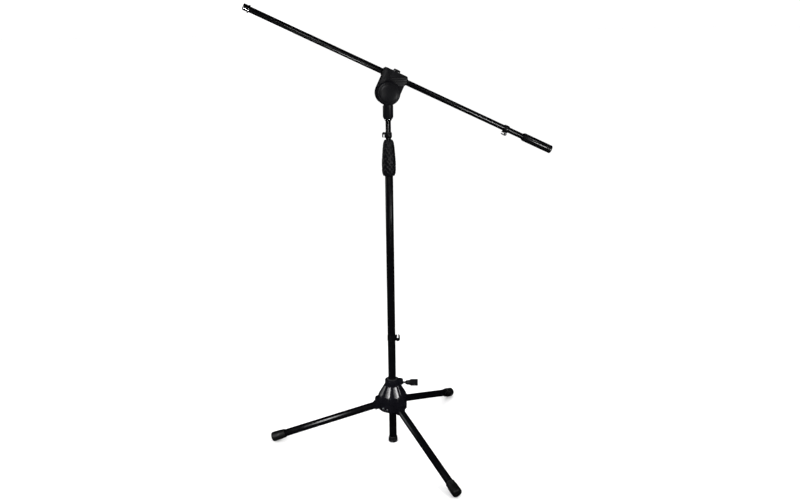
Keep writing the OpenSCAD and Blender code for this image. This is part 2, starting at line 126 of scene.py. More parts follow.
def soften(bm, width, segments=2, limit=35):
    """Rounds every edge that is sharper than limit degrees."""
    least = math.radians(limit)
    sharp = [e for e in bm.edges if len(e.link_faces) == 2 and e.calc_face_angle(0) > least]
    bmesh.ops.bevel(bm, geom=sharp, offset=width, offset_type="OFFSET", affect="EDGES",
                    segments=segments, profile=0.5, material=-1, clamp_overlap=True)
    return bm


def turned(outline, width=0.4 * MM, steps=STEPS, segments=2):
    """A turned body with rounded edges."""
    return soften(lathe(outline, steps), width, segments)


def copied(node, width=0.4 * MM, segments=2, limit=35):
    """A clean copy of a frame node's mesh: merged, flat faces joined, edges rounded."""
    bm = bmesh.new()
    bm.from_mesh(frame["nodes"][node].data)
    bmesh.ops.remove_doubles(bm, verts=bm.verts, dist=2e-6)
    bmesh.ops.dissolve_limit(bm, angle_limit=math.radians(0.5), verts=bm.verts, edges=bm.edges)
    bmesh.ops.recalc_face_normals(bm, faces=bm.faces)
    if width:
        soften(bm, width, segments, limit)
    return bm


def join(bm, other, place=Matrix.Identity(4)):
    """Adds another mesh's faces to bm, at a place."""
    bmesh.ops.transform(other, matrix=place, verts=other.verts)
    mesh = bpy.data.meshes.new("joined")
    other.to_mesh(mesh)
    other.free()
    bm.from_mesh(mesh)
    bpy.data.meshes.remove(mesh)
    return bm


def moved(bm, place):
    """The same mesh at another place."""
    bmesh.ops.transform(bm, matrix=place, verts=bm.verts)
    return bm


def held(share):
    """The share, kept between 0 and 1."""
    return min(1, max(0, share))


def ripple(bm, height_at):
    """Moves each vertex outward from Z by height_at(angle, radius, height)."""
    for vertex in bm.verts:
        radius = math.hypot(vertex.co.x, vertex.co.y)
        if radius > 1e-6:
            angle = math.atan2(vertex.co.y, vertex.co.x)
            grown = 1 + height_at(angle, radius, vertex.co.z) / radius
            vertex.co.x *= grown
            vertex.co.y *= grown
    return bm


def helix(root, crest, pitch, turns, steps=32):
    """A raised screw thread along Z, from height 0, as one closed ridge."""
    bm = bmesh.new()
    low, mid, high = 0.08 * pitch, 0.5 * pitch, 0.92 * pitch
    points = ((root, low), (crest, mid - 0.1 * pitch), (crest, mid + 0.1 * pitch), (root, high))
    start = bm.faces.new([bm.verts.new((radius, 0, height)) for radius, height in points])
    bmesh.ops.spin(bm, geom=[start], cent=(0, 0, 0), axis=(0, 0, 1), dvec=(0, 0, pitch / steps),
                   angle=2 * math.pi * turns, steps=int(steps * turns))
    bmesh.ops.remove_doubles(bm, verts=bm.verts, dist=1e-7)
    bmesh.ops.recalc_face_normals(bm, faces=bm.faces)
    return bm


def place_piece(name, bm, nodes, place=Matrix.Identity(4), smooth=40):
    """Makes the mesh a piece that stands for the named frame nodes and moves with their body."""
    if not bm.faces:
        raise RuntimeError(f"{name} has no faces")
    bmesh.ops.transform(bm, matrix=place, verts=bm.verts)
    mesh = bpy.data.meshes.new(name)
    bm.to_mesh(mesh)
    bm.free()
    mesh.shade_smooth()
    mesh.set_sharp_from_angle(angle=math.radians(smooth))
    piece = bpy.data.objects.new(name, mesh)
    bpy.context.scene.collection.objects.link(piece)
    slot = SLOT_OF[nodes[0]]
    mesh.materials.append(finish_of(slot))
    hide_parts(*nodes)
    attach(piece, BODY_OF[nodes[0]])
    return piece


# ---- Finishes ----

class Finish:
    """One procedural material, patterned on the object's own coordinates."""

    def __init__(self, name):
        self.material = bpy.data.materials.new(name + "_finish")
        self.material.use_nodes = True
        self.tree = self.material.node_tree
        self.tree.nodes.clear()
        self.shader = self.node("ShaderNodeBsdfPrincipled")
        self.coords = self.node("ShaderNodeTexCoord").outputs["Object"]
        output = self.node("ShaderNodeOutputMaterial")
        self.tree.links.new(self.shader.outputs["BSDF"], output.inputs["Surface"])

    def node(self, kind, inputs=None, **settings):
        made = self.tree.nodes.new(kind)
        for key, value in settings.items():
            setattr(made, key, value)
        for key, value in (inputs or {}).items():
            if isinstance(value, bpy.types.NodeSocket):
                self.tree.links.new(value, made.inputs[key])
            else:
                made.inputs[key].default_value = value
        return made

    def noise(self, size, detail=3.0, rough=0.6, stretch=(1, 1, 1), shift=0.0):
        """Cloudy noise whose blobs are about size metres across."""
        inputs = {"Vector": self.coords, "Scale": stretch, "Location": (shift, shift, shift)}
        mapped = self.node("ShaderNodeMapping", inputs).outputs["Vector"]
        inputs = {"Vector": mapped, "Scale": 1 / size, "Detail": detail, "Roughness": rough}
        return self.node("ShaderNodeTexNoise", inputs).outputs["Fac"]

    def cells(self, size, feature="F1"):
        """Cell pattern whose cells are about size metres across."""
        inputs = {"Vector": self.coords, "Scale": 1 / size}
        return self.node("ShaderNodeTexVoronoi", inputs, feature=feature).outputs["Distance"]

    def spread(self, source, low, high, out_low=0.0, out_high=1.0):
        """Maps low..high of a pattern to out_low..out_high, held beyond the ends."""
        inputs = {"Value": source, "From Min": low, "From Max": high,
                  "To Min": out_low, "To Max": out_high}
        made = self.node("ShaderNodeMapRange", inputs, interpolation_type="SMOOTHSTEP")
        return made.outputs["Result"]

    def mix(self, factor, first, second):
        """A colour between two, by a pattern."""
        made = self.node("ShaderNodeMix", data_type="RGBA")
        self.tree.links.new(factor, made.inputs[0])
        for socket, colour in ((made.inputs[6], first), (made.inputs[7], second)):
            if isinstance(colour, bpy.types.NodeSocket):
                self.tree.links.new(colour, socket)
            else:
                socket.default_value = (*colour, 1)
        return made.outputs[2]

    def bump(self, height, strength, depth, under=None):
        """A bump of the given depth in metres, on top of another one."""
        inputs = {"Height": height, "Strength": strength, "Distance": depth}
        if under is not None:
            inputs["Normal"] = under
        return self.node("ShaderNodeBump", inputs).outputs["Normal"]

    def feed(self, **inputs):
        """Sets the shader's sockets, by their names with _ for a space."""
        for key, value in inputs.items():
            socket = self.shader.inputs[key.replace("_", " ")]
            if isinstance(value, bpy.types.NodeSocket):
                self.tree.links.new(value, socket)
            else:
                socket.default_value = value
        return self.material


def coated(name, colour, worn, gloss, rough, grain, grain_depth, sheen=0.3):
    """Powder coat or moulded plastic: clouded gloss, fine grain, a few scuffs and specks of dust."""
    f = Finish(name)
    clouds = f.noise(45 * MM, detail=4)
    scuffs = f.spread(f.noise(7 * MM, detail=6, rough=0.7, stretch=(1, 1, 0.3), shift=3.1), 0.63, 0.74)
    dust = f.spread(f.cells(2.6 * MM), 0.03, 0.10, 1.0, 0.0)
    tone = f.mix(f.spread(clouds, 0.35, 0.7), colour, [c * 1.35 for c in colour])
    tone = f.mix(scuffs, tone, worn)
    tone = f.mix(f.spread(dust, 0.0, 1.0, 0.0, 0.22), tone, [c * 3 for c in worn])
    shine = {0: f.spread(clouds, 0.3, 0.7, gloss, rough), 1: f.spread(scuffs, 0, 1, 0, 0.12)}
    shine = f.node("ShaderNodeMath", shine, operation="ADD").outputs[0]
    skin = f.bump(f.noise(grain, detail=2), 0.35, grain_depth)
    skin = f.bump(scuffs, 0.15, 0.05 * MM, under=skin)
    return f.feed(Base_Color=tone, Roughness=shine, Normal=skin, Specular_IOR_Level=sheen)


def rubbery(name, colour, dusty, grain, grain_depth, rough):
    """Moulded rubber: dull, finely grained, with patches of pale dust."""
    f = Finish(name)
    clouds = f.noise(18 * MM, detail=5)
    bloom = f.spread(f.noise(4 * MM, detail=6, rough=0.7, shift=1.7), 0.5, 0.75)
    tone = f.mix(f.spread(clouds, 0.3, 0.7), colour, [c * 1.5 for c in colour])
    tone = f.mix(f.spread(bloom, 0, 1, 0, 0.5), tone, dusty)
    pores = f.cells(grain)
    skin = f.bump(pores, 0.4, grain_depth)
    skin = f.bump(f.noise(grain * 5, detail=4), 0.3, grain_depth, under=skin)
    shine = f.spread(clouds, 0.3, 0.7, rough - 0.08, rough + 0.08)
    return f.feed(Base_Color=tone, Roughness=shine, Normal=skin, Specular_IOR_Level=0.3)


def metal(name, colour, stained, gloss, rough, scratch):
    """Bare or plated metal: fine scratches, faint stains and an uneven polish."""
    f = Finish(name)
    clouds = f.noise(9 * MM, detail=5, rough=0.65)
    lines = f.noise(1.1 * MM, detail=3, stretch=scratch)
    tone = f.mix(f.spread(clouds, 0.45, 0.75), colour, stained)
    shine = f.spread(f.noise(5 * MM, detail=6, shift=2.3), 0.3, 0.75, gloss, rough)
    skin = f.bump(lines, 0.12, 0.03 * MM)
    return f.feed(Base_Color=tone, Roughness=shine, Metallic=1.0, Normal=skin)


def black_paint():
    return coated("black_paint", (0.0014, 0.0014, 0.0018), (0.010, 0.010, 0.011),
                  0.15, 0.22, 0.7 * MM, 0.012 * MM, sheen=0.4)


def hub_plastic():
    return coated("hub_plastic", (0.0028, 0.0028, 0.0040), (0.014, 0.014, 0.017),
                  0.14, 0.20, 0.5 * MM, 0.010 * MM, sheen=0.5)


def swivel_plastic():
    return coated("swivel_plastic", (0.0034, 0.0034, 0.0046), (0.014, 0.014, 0.017),
                  0.26, 0.34, 0.45 * MM, 0.02 * MM)


def knob_plastic():
    return coated("knob_plastic", (0.0022, 0.0022, 0.0028), (0.010, 0.010, 0.011),
                  0.32, 0.44, 0.4 * MM, 0.02 * MM, sheen=0.15)


def clip_plastic():
    return coated("clip_plastic", (0.0020, 0.0020, 0.0025), (0.012, 0.012, 0.013),
                  0.22, 0.34, 0.6 * MM, 0.02 * MM)


def bush_nylon():
    return coated("bush_nylon", (0.0120, 0.0120, 0.0125), (0.034, 0.034, 0.034),
                  0.42, 0.55, 0.4 * MM, 0.02 * MM)


def grip_rubber():
    return rubbery("grip_rubber", (0.0022, 0.0022, 0.0030), (0.010, 0.010, 0.012),
                   0.35 * MM, 0.01 * MM, 0.24)


def handle_rubber():
    return rubbery("handle_rubber", (0.0016, 0.0016, 0.0020), (0.008, 0.008, 0.009),
                   0.30 * MM, 0.010 * MM, 0.20)


def foot_rubber():
    return rubbery("foot_rubber", (0.0020, 0.0020, 0.0022), (0.014, 0.0135, 0.013),
                   0.5 * MM, 0.03 * MM, 0.42)


def chrome():
    return metal("chrome", (0.78, 0.79, 0.81), (0.55, 0.55, 0.56), 0.08, 0.22, (1, 1, 4))


def screw_steel():
    return metal("screw_steel", (0.46, 0.47, 0.49), (0.30, 0.29, 0.28), 0.26, 0.42, (1, 1, 6))


def screw_black():
    return metal("screw_black", (0.035, 0.035, 0.038), (0.06, 0.055, 0.05), 0.32, 0.48, (1, 1, 5))


def brass():
    return metal("brass", (0.72, 0.54, 0.25), (0.42, 0.30, 0.14), 0.24, 0.40, (1, 1, 5))


MADE = {}
FINISHES = {make.__name__: make for make in (
    black_paint, hub_plastic, swivel_plastic, knob_plastic, clip_plastic, bush_nylon, grip_rubber,
    handle_rubber, foot_rubber, chrome, screw_steel, screw_black, brass)}


def finish_of(slot):
    """The finish of a slot, made once."""
    if slot not in MADE:
        MADE[slot] = FINISHES[slot]()
    return MADE[slot]


# ---- Sizes that a user may change ----

class MICSTAND_PG_sizes(bpy.types.PropertyGroup):
    """Detail sizes of the stand."""
    edge: bpy.props.FloatProperty(
        name="Edge radius", description="Rounding of moulded edges", default=0.5 * MM, unit="LENGTH")
    knurl_starts: bpy.props.IntProperty(
        name="Knurl starts", description="Diamonds round the clutch grip", default=8, min=4)
    knurl_rows: bpy.props.FloatProperty(
        name="Knurl rows", description="Diamonds along the clutch grip", default=6.5)
    knurl_depth: bpy.props.FloatProperty(
        name="Knurl depth", description="Height of the clutch grip's diamonds",
        default=1.3 * MM, unit="LENGTH")
    panels: bpy.props.IntProperty(
        name="Hub panels", description="Raised panels round the hub's cone", default=9, min=3)
    panel_turn: bpy.props.FloatProperty(
        name="Panel turn", description="Direction of the gap between two panels",
        default=math.radians(257.4), subtype="ANGLE")
    panel_fill: bpy.props.FloatProperty(
        name="Panel width", description="Share of the way round that the panels cover",
        default=0.66, max=0.9)
    panel_raise: bpy.props.FloatProperty(
        name="Panel height", description="How far a panel stands out of the cone",
        default=1.5 * MM, unit="LENGTH")
    thread_pitch: bpy.props.FloatProperty(
        name="Microphone thread pitch", description="27 turns to the inch",
        default=0.941 * MM, unit="LENGTH")
    screw_pitch: bpy.props.FloatProperty(
        name="Lock screw pitch", description="Pitch of the hub's lock screw",
        default=1.0 * MM, unit="LENGTH")


class MICSTAND_PG_studio(bpy.types.PropertyGroup):
    """Camera and light of the studio."""
    camera_at: bpy.props.FloatVectorProperty(
        name="Camera place", description="Where the camera stands",
        default=(-0.343, -2.040, 1.1115), unit="LENGTH")
    heading: bpy.props.FloatProperty(
        name="Heading", description="Camera's turn from +Y towards +X",
        default=math.radians(10.213), subtype="ANGLE")
    pitch: bpy.props.FloatProperty(
        name="Pitch", description="How far the camera looks down",
        default=math.radians(15.972), subtype="ANGLE")
    roll: bpy.props.FloatProperty(
        name="Roll", description="Camera's turn about its view",
        default=math.radians(-0.71), subtype="ANGLE")
    lens: bpy.props.FloatProperty(
        name="Lens", description="Focal length of the camera in millimetres", default=39.42)
    sky: bpy.props.FloatProperty(
        name="Sky", description="Brightness of the white surroundings", default=1.22)
    key: bpy.props.FloatProperty(
        name="Key light", description="Power of the high front light in watts", default=0.16)
    side: bpy.props.FloatProperty(
        name="Side lights", description="Power of each side light in watts", default=0.75)
    streak: bpy.props.FloatProperty(
        name="Streak lights", description="Power of each narrow low side light in watts", default=0.27)
    low: bpy.props.FloatProperty(
        name="Low light", description="Power of the low front light in watts", default=0.02)
    rim: bpy.props.FloatProperty(
        name="Rim light", description="Power of the low back light in watts", default=3)
    bounce: bpy.props.FloatProperty(
        name="Bounce light", description="Power of the light under the boom's end in watts", default=0.3)
    floor_colour: bpy.props.FloatVectorProperty(
        name="Floor colour", description="Colour of the studio floor",
        default=(0.90, 0.90, 0.90), subtype="COLOR")


# ---- Pieces ----

def pipe(node, place=Matrix.Identity(4), lip=0.3 * MM):
    """A turned tube with softened ends in place of a plain one."""
    inner, outer, low, high = measure(node, place)
    outline = ((inner, low), (outer, low), (outer, high), (inner, high))
    place_piece(node + "_skin", turned(outline, lip, steps=72), [node], place)


def arc(centre_r, centre_z, radius, start, end, count=6):
    """Outline points of an arc, its angles in degrees from the outward direction."""
    angles = [math.radians(start + (end - start) * i / count) for i in range(count + 1)]
    return [(centre_r + radius * math.cos(a), centre_z + radius * math.sin(a)) for a in angles]


class MICSTAND_OT_tubes(bpy.types.Operator):
    """Lower mast, inner mast, boom and leg tubes in satin powder coat"""
    bl_idname = "micstand.tubes"
    bl_label = "Tubes"

    def execute(self, context):
        pipe("mast_tube")
        pipe("inner_tube")
        pipe("boom_tube", boom_frame(), lip=0.4 * MM)
        for leg in LEGS:
            pipe(leg + "_leg_tube", leg_frame(leg))
        return {"FINISHED"}


def foot_skin(leg):
    """A rubber foot: a lipped mouth, three grooves, a full rounded end, and a flat where it stands."""
    place = leg_frame(leg)
    tube_r = measure(leg + "_leg_tube", place)[1]
    outer, low, high = measure(leg + "_foot", place)[1:]
    bore = tube_r + 0.05 * MM
    floor = high - 6 * MM
    round_r = 5 * MM
    groove = 0.45 * MM
    outline = [(bore, low), (tube_r + 1.5 * MM, low), (tube_r + 2.1 * MM, low + 0.9 * MM),
               (tube_r + 2.1 * MM, low + 2.6 * MM), (tube_r + 1.6 * MM, low + 3.2 * MM)]
    for i in range(3):
        z = low + (5 + 3.4 * i) * MM
        radius = tube_r + (1.9 + 0.5 * i) * MM
        outline += [(radius, z), (radius - groove, z + 0.5 * MM),
                    (radius - groove + 0.1 * MM, z + 1.0 * MM), (radius + 0.2 * MM, z + 1.5 * MM)]
    outline += [(outer - 0.1 * MM, low + 17 * MM), (outer, low + 21 * MM), (outer, high - round_r - 2 * MM)]
    outline += arc(outer - round_r, high - round_r, round_r, 0, 90)
    outline += [(3.2 * MM, high), (2.4 * MM, high - 0.7 * MM), (0, high - 0.7 * MM), (0, floor),
                (bore, floor)]
    bm = moved(turned(outline, 0.25 * MM), place)
    cut = bmesh.ops.bisect_plane(bm, geom=bm.verts[:] + bm.edges[:] + bm.faces[:],
                                 plane_co=(0, 0, 0), plane_no=(0, 0, -1), clear_outer=True)
    rim = [e for e in cut["geom_cut"] if isinstance(e, bmesh.types.BMEdge)]
    bmesh.ops.contextual_create(bm, geom=rim)
    bmesh.ops.recalc_face_normals(bm, faces=bm.faces)
    place_piece(leg + "_foot_skin", bm, [leg + "_foot"])


class MICSTAND_OT_feet(bpy.types.Operator):
    """Rubber feet of the legs and the rubber cap of the mast"""
    bl_idname = "micstand.feet"
    bl_label = "Rubber feet"

    def execute(self, context):
        for leg in LEGS:
            foot_skin(leg)
        mast_r, mast_low = measure("mast_tube")[1:3]
        outer, low, high = measure("mast_cap")[1:]
        bore = mast_r + 0.05 * MM
        round_r = 3.4 * MM
        outline = [(0, low), (outer - round_r, low)]
        outline += arc(outer - round_r, low + round_r, round_r, -80, 0)
        outline += [(outer, low + 6.5 * MM), (outer - 0.7 * MM, low + 7 * MM),
                    (outer - 0.7 * MM, low + 8 * MM), (outer - 0.1 * MM, low + 8.5 * MM),
                    (outer - 0.9 * MM, high - 1.6 * MM), (outer - 1.6 * MM, high), (bore, high),
                    (bore, mast_low), (0, mast_low)]
        place_piece("mast_cap_skin", turned(outline, 0.3 * MM), ["mast_cap"])
        return {"FINISHED"}


class MICSTAND_OT_hub(bpy.types.Operator):
    """The base's hub: slotted ring, cone with raised panels, collar, bush and leg pins"""
    bl_idname = "micstand.hub"
    bl_label = "Hub"

    def execute(self, context):
        sizes = context.scene.micstand
        place_piece("hub_base_skin", copied("hub_base", sizes.edge), ["hub_base"])
        place_piece("hub_collar_skin", copied("hub_collar", sizes.edge), ["hub_collar"])
        place_piece("hub_bush_skin", copied("hub_bush", 0.3 * MM), ["hub_bush"])
        place_piece("leg_pins_skin", copied("leg_pivot_pins", 0.15 * MM, limit=30), ["leg_pivot_pins"])
        self.cover(sizes)
        return {"FINISHED"}

    def cover(self, sizes):
        """The cone, with convex panels that end in round tongues, and dark gaps between them."""
        bore, wide, low, high = measure("hub_cover")
        collar_radii = [math.hypot(p.x, p.y) for p in corners("hub_collar") if p.z < high + MM]
        narrow = min(radius for radius in collar_radii if radius > bore + 2 * MM)
        rim, wall, sink = 2.5 * MM, 3 * MM, 0.9 * MM
        rows = 40
        slope = [low + rim + (high - low - rim) * i / rows for i in range(rows + 1)]

        def radius_at(z):
            return wide + (narrow - wide) * (z - low - rim) / (high - low - rim)

        outline = [(wide - wall, low), (wide, low)] + [(radius_at(z), z) for z in slope]
        outline += [(bore, high), (bore, high - rim), (narrow - wall, high - rim),
                    (wide - wall, low + rim - MM)]
        pitch = 2 * math.pi / sizes.panels
        start, end = low + rim + 1.0 * MM, high - 0.3 * MM

        def panel(angle, radius, z):
            if radius < radius_at(z) - 0.2 * MM or not low + rim < z < high:
                return 0
            across = 2 * ((angle - sizes.panel_turn) / pitch % 1) - 1
            tongue = start + 4 * MM * (across / sizes.panel_fill) ** 2
            along = held((z - tongue) / (1.6 * MM)) * held((end - z) / (1.2 * MM))
            inside = along * held((sizes.panel_fill - abs(across)) / 0.07)
            chord = math.cos(sizes.panel_fill * pitch / 2) / math.cos(across * pitch / 2) - 1
            flat = 0.85 * radius_at(z) * chord if inside else 0
            return -sink * (1 - inside) + (sizes.panel_raise + flat) * inside

        bm = ripple(lathe(outline, steps=24 * sizes.panels), panel)
        bmesh.ops.recalc_face_normals(bm, faces=bm.faces)
        place_piece("hub_cover_skin", bm, ["hub_cover"])


class MICSTAND_OT_hub_lock(bpy.types.Operator):
    """Fluted knob and threaded screw that hold the mast in the hub"""
    bl_idname = "micstand.hub_lock"
    bl_label = "Hub lock knob"

    def execute(self, context):
        sizes = context.scene.micstand
        place = joint_frame("lock_knob_turn")
        outer, low, high = measure("lock_knob", place)[1:]
        screw_r, screw_low, screw_high = measure("lock_screw", place)[1:]
        flutes, bore_depth = 12, 14 * MM
        bore = screw_r + 0.05 * MM
        neck_points = ((3.8, 0), (5.6, 3.2), (5.9, 4), (6.2, 10), (7.4, 12.1))
        outline = [(bore, low)] + [(radius * MM, low + rise * MM) for radius, rise in neck_points]
        outline += arc(outer - 1.5 * MM, low + 14.2 * MM, 1.5 * MM, -60, 0, 4)
        outline += [(outer, low + (16 + 1.2 * i) * MM) for i in range(9)]
        outline += arc(outer - 2 * MM, high - 2 * MM, 2 * MM, 0, 80, 6)
        outline += [(5 * MM, high), (4.4 * MM, high - 0.6 * MM), (0, high - 0.6 * MM),
                    (0, low + bore_depth), (bore, low + bore_depth)]

        def flute(angle, radius, z):
            if radius < 6 * MM or z < low + 12 * MM:
                return 0
            return -0.55 * MM * (0.5 - 0.5 * math.cos(flutes * angle)) ** 2

        bm = ripple(lathe(outline, steps=10 * flutes), flute)
        place_piece("lock_knob_skin", bm, ["lock_knob"], place)
        root = screw_r - 0.55 * MM
        turns = (screw_high - screw_low - 4 * MM) / sizes.screw_pitch
        outline = ((0, screw_low), (root, screw_low), (root, screw_high), (0, screw_high))
        core = turned(outline, 0.3 * MM, steps=32)
        ridge = helix(root - 0.05 * MM, screw_r, sizes.screw_pitch, turns, steps=24)
        join(core, ridge, Matrix.Translation((0, 0, screw_low + 1 * MM)))
        place_piece("lock_screw_skin", core, ["lock_screw"], place)
        return {"FINISHED"}


class MICSTAND_OT_leg_roots(bpy.types.Operator):
    """Moulded pivot ends of the legs"""
    bl_idname = "micstand.leg_roots"
    bl_label = "Leg roots"

    def execute(self, context):
        for leg in LEGS:
            node = leg + "_leg_root"
            place_piece(node + "_skin", copied(node, 0.6 * MM), [node])
        return {"FINISHED"}


# The clutch grip's outline: share of its length from below, and share of its widest radius
GRIP_SHAPE = ((0, 0.80), (0.012, 0.84), (0.05, 0.92), (0.1, 0.965), (0.16, 0.985), (0.36, 1.0),
              (0.47, 0.965), (0.6, 0.915), (0.72, 0.872), (0.82, 0.825), (0.9, 0.77), (0.95, 0.70),
              (0.985, 0.62), (1, 0.59))


def between(points, at):
    """The value at a place along a row of (place, value) points."""
    for (x0, y0), (x1, y1) in zip(points, points[1:]):
        if at <= x1:
            return y0 + (y1 - y0) * (at - x0) / (x1 - x0)
    return points[-1][1]


class MICSTAND_OT_clutch(bpy.types.Operator):
    """Twist clutch: a soft grip of raised diamonds over a plain sleeve"""
    bl_idname = "micstand.clutch"
    bl_label = "Clutch"

    def execute(self, context):
        sizes = context.scene.micstand
        place_piece("clutch_sleeve_skin", copied("clutch_sleeve", 0.3 * MM), ["clutch_sleeve"])
        outer, low, high = measure("clutch_grip")[1:]
        sleeve_r, sleeve_top = measure("clutch_sleeve")[1::2]
        tube_r = measure("inner_tube")[1]
        length = high - low
        bore, neck = sleeve_r + 0.1 * MM, tube_r + 0.5 * MM
        throat = bore - 0.9 * MM
        rows = 120
        shares = [i / rows for i in range(rows + 1)]
        outline = [(outer * between(GRIP_SHAPE, share), low + length * share) for share in shares]
        outline += [(neck, high), (neck, high - 8 * MM), (throat, sleeve_top + 7 * MM),
                    (throat, sleeve_top + MM), (bore, sleeve_top + MM), (bore, low)]
        rise = length / sizes.knurl_rows

        def diamonds(angle, radius, z):
            if radius < 0.95 * outer * between(GRIP_SHAPE, (z - low) / length):
                return 0
            ring = sizes.knurl_starts * angle / (2 * math.pi)
            along = (z - low) / rise
            pair = [abs((ring + turn * along + 0.5) % 1 - 0.5) * 2 for turn in (1, -1)]
            pillow = (max(0, 1 - pair[0] ** 2.4) * max(0, 1 - pair[1] ** 2.4)) ** 0.75
            fade = min(1, (z - low) / (5 * MM), (high - z) / (7 * MM))
            return sizes.knurl_depth * max(0, fade) * (pillow - 0.85)

        bm = ripple(lathe(outline, steps=20 * sizes.knurl_starts), diamonds)
        place_piece("clutch_grip_skin", bm, ["clutch_grip"], smooth=60)
        return {"FINISHED"}


class MICSTAND_OT_clips(bpy.types.Operator):
    """Cable clips on the mast, the inner mast and the boom"""
    bl_idname = "micstand.clips"
    bl_label = "Cable clips"

    def execute(self, context):
        for node in ("mast_clip", "inner_clip", "boom_clip"):
            place_piece(node + "_skin", copied(node, 0.45 * MM, segments=3), [node])
        return {"FINISHED"}


class MICSTAND_OT_studs(bpy.types.Operator):
    """Chromed microphone thread on the boom and chromed stud under the swivel"""
    bl_idname = "micstand.studs"
    bl_label = "Chromed studs"

    def execute(self, context):
        sizes = context.scene.micstand
        thread = next(m for m in RECORD["mounts"] if m["name"] == "microphone_thread")
        crest = thread["dims"]["r_mm"] * MM
        root = crest - 0.55 * sizes.thread_pitch
        place = boom_frame() @ Matrix.Rotation(math.pi, 4, "X")
        flange_r, shank_low, tip = measure("boom_stud", place)[1:]
        shank_r, face = measure("boom_tube", place)[0::3]
        flange = tip - (thread["dims"]["length_mm"] + 1) * MM
        outline = [(0, shank_low), (shank_r, shank_low), (shank_r, face), (flange_r - 0.6 * MM, face),
                   (flange_r, face + 0.6 * MM), (flange_r, flange - 0.9 * MM),
                   (flange_r - 0.7 * MM, flange),
                   (root + 0.2 * MM, flange), (root, flange + 0.4 * MM), (root, tip - 0.9 * MM),
                   (root - 0.8 * MM, tip), (3.4 * MM, tip), (2.9 * MM, tip - 0.5 * MM), (0, tip - 0.5 * MM)]
        stud = turned(outline, 0.15 * MM)
        turns = (tip - flange - 1.6 * MM) / sizes.thread_pitch - 1
        ridge = helix(root - 0.05 * MM, crest, sizes.thread_pitch, turns)
        join(stud, ridge, Matrix.Translation((0, 0, flange + 0.6 * MM)))
        place_piece("boom_stud_skin", stud, ["boom_stud"], place)
        self.swivel_stud(sizes.thread_pitch, crest, root)
        return {"FINISHED"}

    def swivel_stud(self, pitch, crest, root):
        """The stud between the inner mast and the swivel: only its collar shows."""
        outer, low, high = measure("swivel_stud")[1:]
        bore, tube_r, _, seat = measure("inner_tube")
        shank_r = bore - 0.05 * MM
        neck = measure("swivel_base")[2]
        outline = [(0, low), (shank_r, low), (shank_r, seat), (tube_r + 0.5 * MM, seat),
                   (tube_r + 0.8 * MM, seat + 0.4 * MM), (outer - 0.5 * MM, seat + 2.8 * MM),
                   (outer, seat + 3.3 * MM), (outer, neck - 0.4 * MM), (outer - 0.4 * MM, neck),
                   (root, neck), (root, high), (0, high)]
        stud = turned(outline, 0.12 * MM)
        turns = (high - neck - 2 * MM) / pitch - 1
        ridge = helix(root - 0.05 * MM, crest, pitch, turns)
        join(stud, ridge, Matrix.Translation((0, 0, neck + MM)))
        place_piece("swivel_stud_skin", stud, ["swivel_stud"])


class MICSTAND_OT_swivel_base(bpy.types.Operator):
    """Lower half of the boom's swivel: a neck that grows into a round ear with a domed cap"""
    bl_idname = "micstand.swivel_base"
    bl_label = "Swivel base"

    def execute(self, context):
        place_piece("swivel_base_skin", copied("swivel_base", 0.9 * MM, segments=3), ["swivel_base"])
        place = joint_frame("boom_tilt", flip=True)
        outer, low, high = measure("tilt_cap", place)[1:]
        edge, foot = 0.5 * MM, low + 0.9 * MM
        outline = [(0, low), (outer - 0.3 * MM, low)] + arc(outer - edge, low + edge, edge, -60, 60, 4)
        for turn in range(12, 90, 6):
            angle = math.radians(turn)
            outline.append((outer * math.cos(angle), foot + (high - foot) * math.sin(angle)))
        outline.append((0, high))
        place_piece("tilt_cap_skin", lathe(outline, steps=96), ["tilt_cap"], place)
        return {"FINISHED"}


class MICSTAND_OT_swivel_head(bpy.types.Operator):
    """Upper half of the swivel, which clamps the boom, with its clamp screw and split bush"""
    bl_idname = "micstand.swivel_head"
    bl_label = "Swivel head"

    def execute(self, context):
        place_piece("swivel_head_skin", copied("swivel_head", 0.8 * MM, segments=3), ["swivel_head"])
        place_piece("clamp_screw_skin", copied("clamp_screw", 0.3 * MM), ["clamp_screw"])
        place_piece("boom_bush_skin", copied("boom_bush", 0.4 * MM), ["boom_bush"])
        return {"FINISHED"}


class MICSTAND_OT_tilt_knob(bpy.types.Operator):
    """Lobed knob that tightens the tilt bolt"""
    bl_idname = "micstand.tilt_knob"
    bl_label = "Tilt knob"

    def execute(self, context):
        place = joint_frame("tilt_knob_turn")
        outer, low, high = measure("tilt_knob", place)[1:]
        nut_r, nut_high = measure("tilt_nut", place)[1::2]
        bolt_high = measure("tilt_bolt", place)[3]
        pocket = nut_r + 0.1 * MM
        lobes = 7
        flank = 12.7 * MM
        outline = [(pocket, low), (11.4 * MM, low), (12 * MM, low + 0.6 * MM), (12.6 * MM, low + 4 * MM)]
        outline += arc(outer - 1.6 * MM, low + 6.2 * MM, 1.6 * MM, -80, 0, 5)
        outline += [(outer, low + (7.5 + i) * MM) for i in range(5)]
        outline += arc(outer - 3 * MM, high - 3 * MM, 3 * MM, 0, 85, 8)
        outline += [(13 * MM, high - 0.1 * MM), (12.2 * MM, high - 1.4 * MM), (7 * MM, high - 1.4 * MM),
                    (6.4 * MM, high - 0.3 * MM), (0, high - 0.3 * MM), (0, bolt_high + 0.3 * MM),
                    (4.3 * MM, bolt_high + 0.3 * MM), (4.3 * MM, nut_high + 0.1 * MM),
                    (pocket, nut_high + 0.1 * MM)]

        def lobe(angle, radius, z):
            if radius < flank:
                return 0
            reach = (radius - flank) / (outer - flank)
            return -2.3 * MM * reach * (0.5 + 0.5 * math.cos(lobes * angle)) ** 2.2

        bm = ripple(lathe(outline, steps=20 * lobes), lobe)
        place_piece("tilt_knob_skin", bm, ["tilt_knob"], place)
        return {"FINISHED"}


